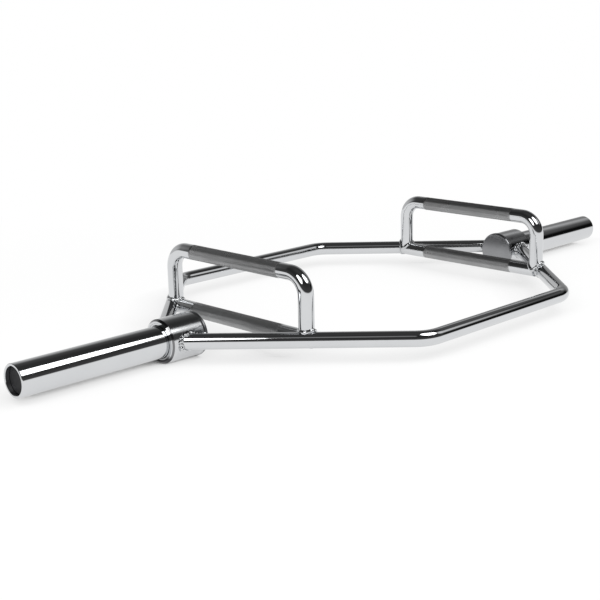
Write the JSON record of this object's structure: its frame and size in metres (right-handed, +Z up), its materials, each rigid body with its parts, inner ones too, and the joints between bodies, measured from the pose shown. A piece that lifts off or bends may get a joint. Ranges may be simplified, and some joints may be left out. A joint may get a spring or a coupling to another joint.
{
  "type": "hex trap bar",
  "caption": "Chromed hexagonal weightlifting bar to stand inside, with low and raised knurled grips and rotating plate sleeves on collar housings.",
  "frame": {"origin": "on the floor under the middle of the bar, level with the end plates' lowest points", "axes": "+X along the plate sleeves to the right, -Y the front, +Z up; the high grips stand up"},
  "size_m": [1.42, 0.615, 0.1455],
  "materials": {
    "chrome": "polished chrome plate, knurled on the grips",
    "plain_steel": "turned, oiled",
    "spring_steel": "blackened spring steel",
    "bearing_bronze": "sintered bronze",
    "seal_rubber": "matt black",
    "black_plastic": "fine-grained black, bare"
  },
  "bodies": {
    "frame": {"front_rail": "chrome", "rear_rail": "chrome", "left_low_grip": "chrome", "left_high_grip": "chrome", "left_grip_welds": "chrome", "left_collar": "chrome", "left_collar_welds": "chrome", "left_end_plate": "chrome", "left_plate_weld": "chrome", "left_spindle": "plain_steel", "left_spindle_weld": "plain_steel", "left_thrust_washer": "plain_steel", "left_retaining_washer": "plain_steel", "left_circlip": "spring_steel", "left_dust_seal": "seal_rubber", "right_low_grip": "chrome", "right_high_grip": "chrome", "right_grip_welds": "chrome", "right_collar": "chrome", "right_collar_welds": "chrome", "right_end_plate": "chrome", "right_plate_weld": "chrome", "right_spindle": "plain_steel", "right_spindle_weld": "plain_steel", "right_thrust_washer": "plain_steel", "right_retaining_washer": "plain_steel", "right_circlip": "spring_steel", "right_dust_seal": "seal_rubber"},
    "left_sleeve_unit": {"left_sleeve": "chrome", "left_inner_bush": "bearing_bronze", "left_outer_bush": "bearing_bronze", "left_end_cap": "black_plastic"},
    "right_sleeve_unit": {"right_sleeve": "chrome", "right_inner_bush": "bearing_bronze", "right_outer_bush": "bearing_bronze", "right_end_cap": "black_plastic"}
  },
  "joints": [
    {"name": "left_sleeve_spin", "type": "hinge", "parent": "frame", "child": "left_sleeve_unit", "pos_m": [-0.585, 0, 0.0355], "axis": [1, 0, 0], "continuous": true},
    {"name": "right_sleeve_spin", "type": "hinge", "parent": "frame", "child": "right_sleeve_unit", "pos_m": [0.585, 0, 0.0355], "axis": [1, 0, 0], "continuous": true}
  ]
}
